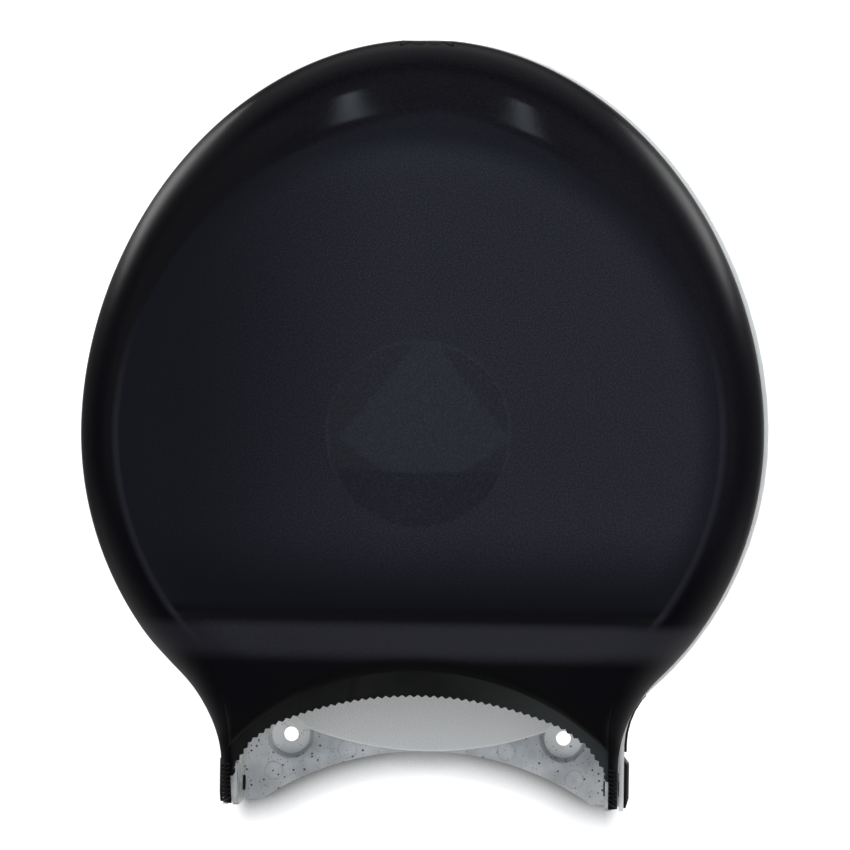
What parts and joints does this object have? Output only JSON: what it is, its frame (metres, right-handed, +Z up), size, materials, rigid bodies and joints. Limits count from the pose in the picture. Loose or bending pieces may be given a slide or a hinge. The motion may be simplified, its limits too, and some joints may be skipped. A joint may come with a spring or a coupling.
{
  "type": "jumbo toilet roll dispenser",
  "caption": "Round wall-mounted dispenser for one jumbo toilet roll, with a smoke-coloured lift-down cover, a toothed tear edge over the mouth and a top latch button.",
  "frame": {"origin": "the point of the wall plane behind the spindle", "axes": "+X to the viewer's right, +Y into the wall, +Z up; the viewer stands at -Y"},
  "size_m": [0.265, 0.143, 0.2994],
  "materials": {
    "speckled_grey": "pale grey with fine dark specks",
    "smoke_plastic": "dark smoke, moulded satin gloss",
    "black_plastic": "moulded satin",
    "pale_nylon": "pale grey nylon, moulded satin",
    "button_plastic": "moulded gloss",
    "hub_plastic": "moulded satin",
    "steel": "zinc plated",
    "spring_steel": "bright"
  },
  "bodies": {
    "base": {"rear_base": "speckled_grey", "spindle_post": "black_plastic", "post_screws": "steel", "drag_washer": "spring_steel", "hub_retainer": "black_plastic", "retainer_screw": "steel", "hinge_clip_left": "black_plastic", "hinge_clip_right": "black_plastic", "edge_strip_left": "black_plastic", "edge_strip_right": "black_plastic", "striker": "black_plastic", "striker_screws": "steel"},
    "cover": {"cover_shell": "smoke_plastic", "tear_bar": "black_plastic", "cover_ear_left": "pale_nylon", "cover_ear_right": "pale_nylon", "ear_screws": "steel", "latch_carrier": "black_plastic", "carrier_screws": "steel", "latch_spring": "spring_steel"},
    "hub": {"roll_hub": "hub_plastic"},
    "latch": {"lock_button": "button_plastic", "latch_arm": "black_plastic"}
  },
  "joints": [
    {"name": "cover_hinge", "type": "hinge", "parent": "base", "child": "cover", "pos_m": [0, -0.028, -0.1385], "axis": [1, 0, 0], "range_deg": [0, 110]},
    {"name": "hub_spin", "type": "hinge", "parent": "base", "child": "hub", "pos_m": [0, -0.0564, 0], "axis": [0, -1, 0], "continuous": true},
    {"name": "latch_press", "type": "slide", "parent": "cover", "child": "latch", "axis": [0, 0, -1], "range_m": [0, 0.004], "stiffness_N_per_m": 200, "springref_m": -0.006, "deforming": ["latch_spring"]}
  ]
}
